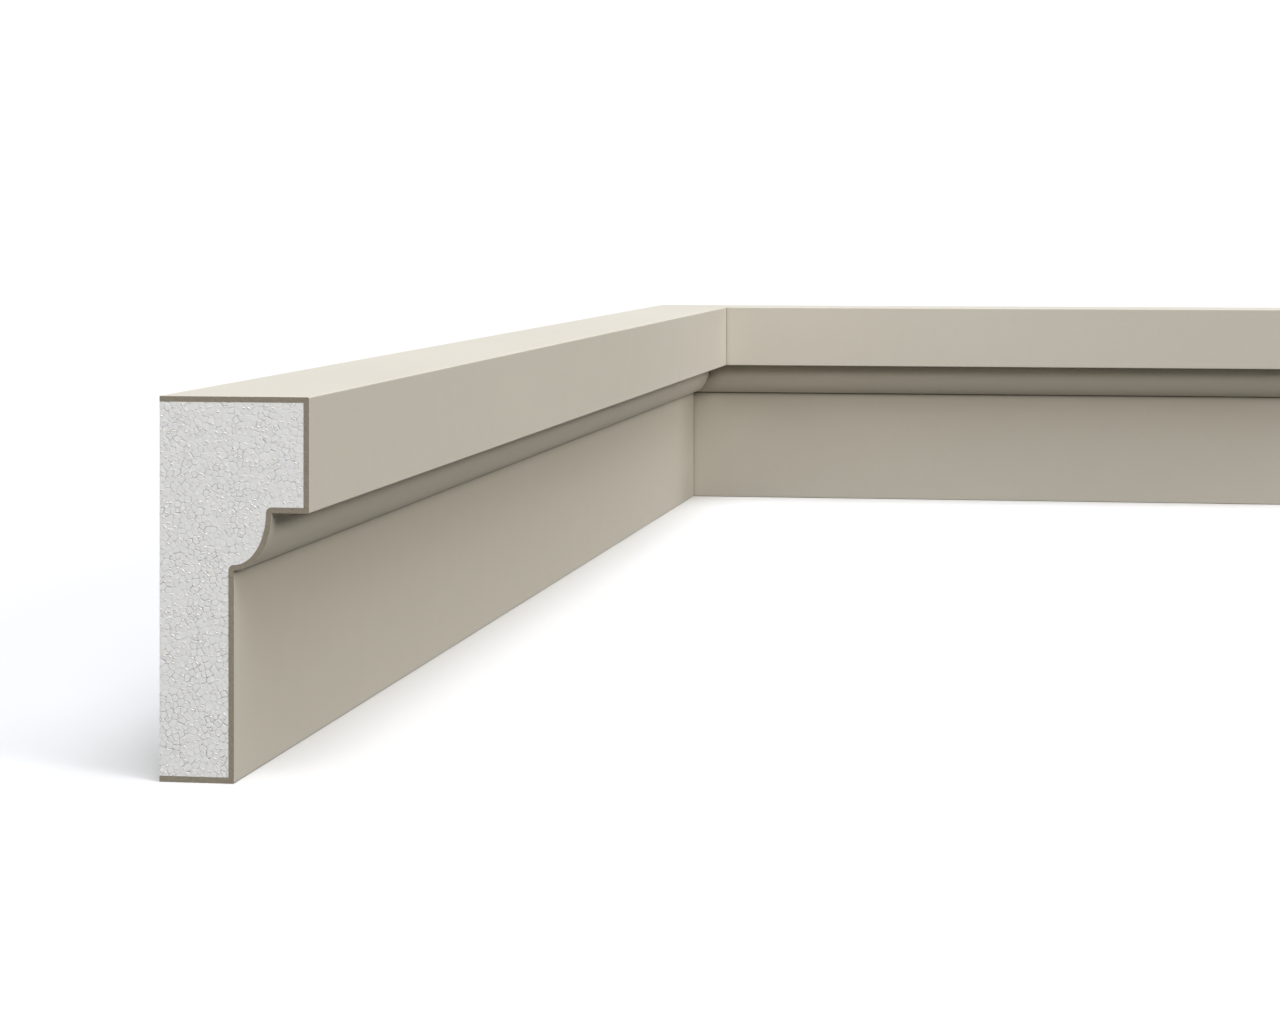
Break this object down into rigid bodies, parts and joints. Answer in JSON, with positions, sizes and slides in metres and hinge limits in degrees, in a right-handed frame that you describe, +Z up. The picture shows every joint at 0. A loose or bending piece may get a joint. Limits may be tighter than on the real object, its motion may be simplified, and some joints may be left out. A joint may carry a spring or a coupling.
{
  "type": "polystyrene facade moulding",
  "caption": "Mortar-coated polystyrene facade moulding turned round an inside corner: a plain upper band over a rounded bed mould and a flat lower band, for wall surfaces.",
  "frame": {"origin": "centre of the bounding box in plan, on the underside of the moulding", "axes": "+Z up, +Y along the long run towards the inside corner, +X along the short run away from the corner; the long run's back faces -X and the short run's back faces +Y"},
  "size_m": [0.7, 1.71, 0.2],
  "materials": {
    "foam": "matte",
    "coating": "matte"
  },
  "bodies": {
    "root": {"left_foam_core": "foam", "left_coating": "coating", "right_foam_core": "foam", "right_coating": "coating"}
  },
  "joints": []
}
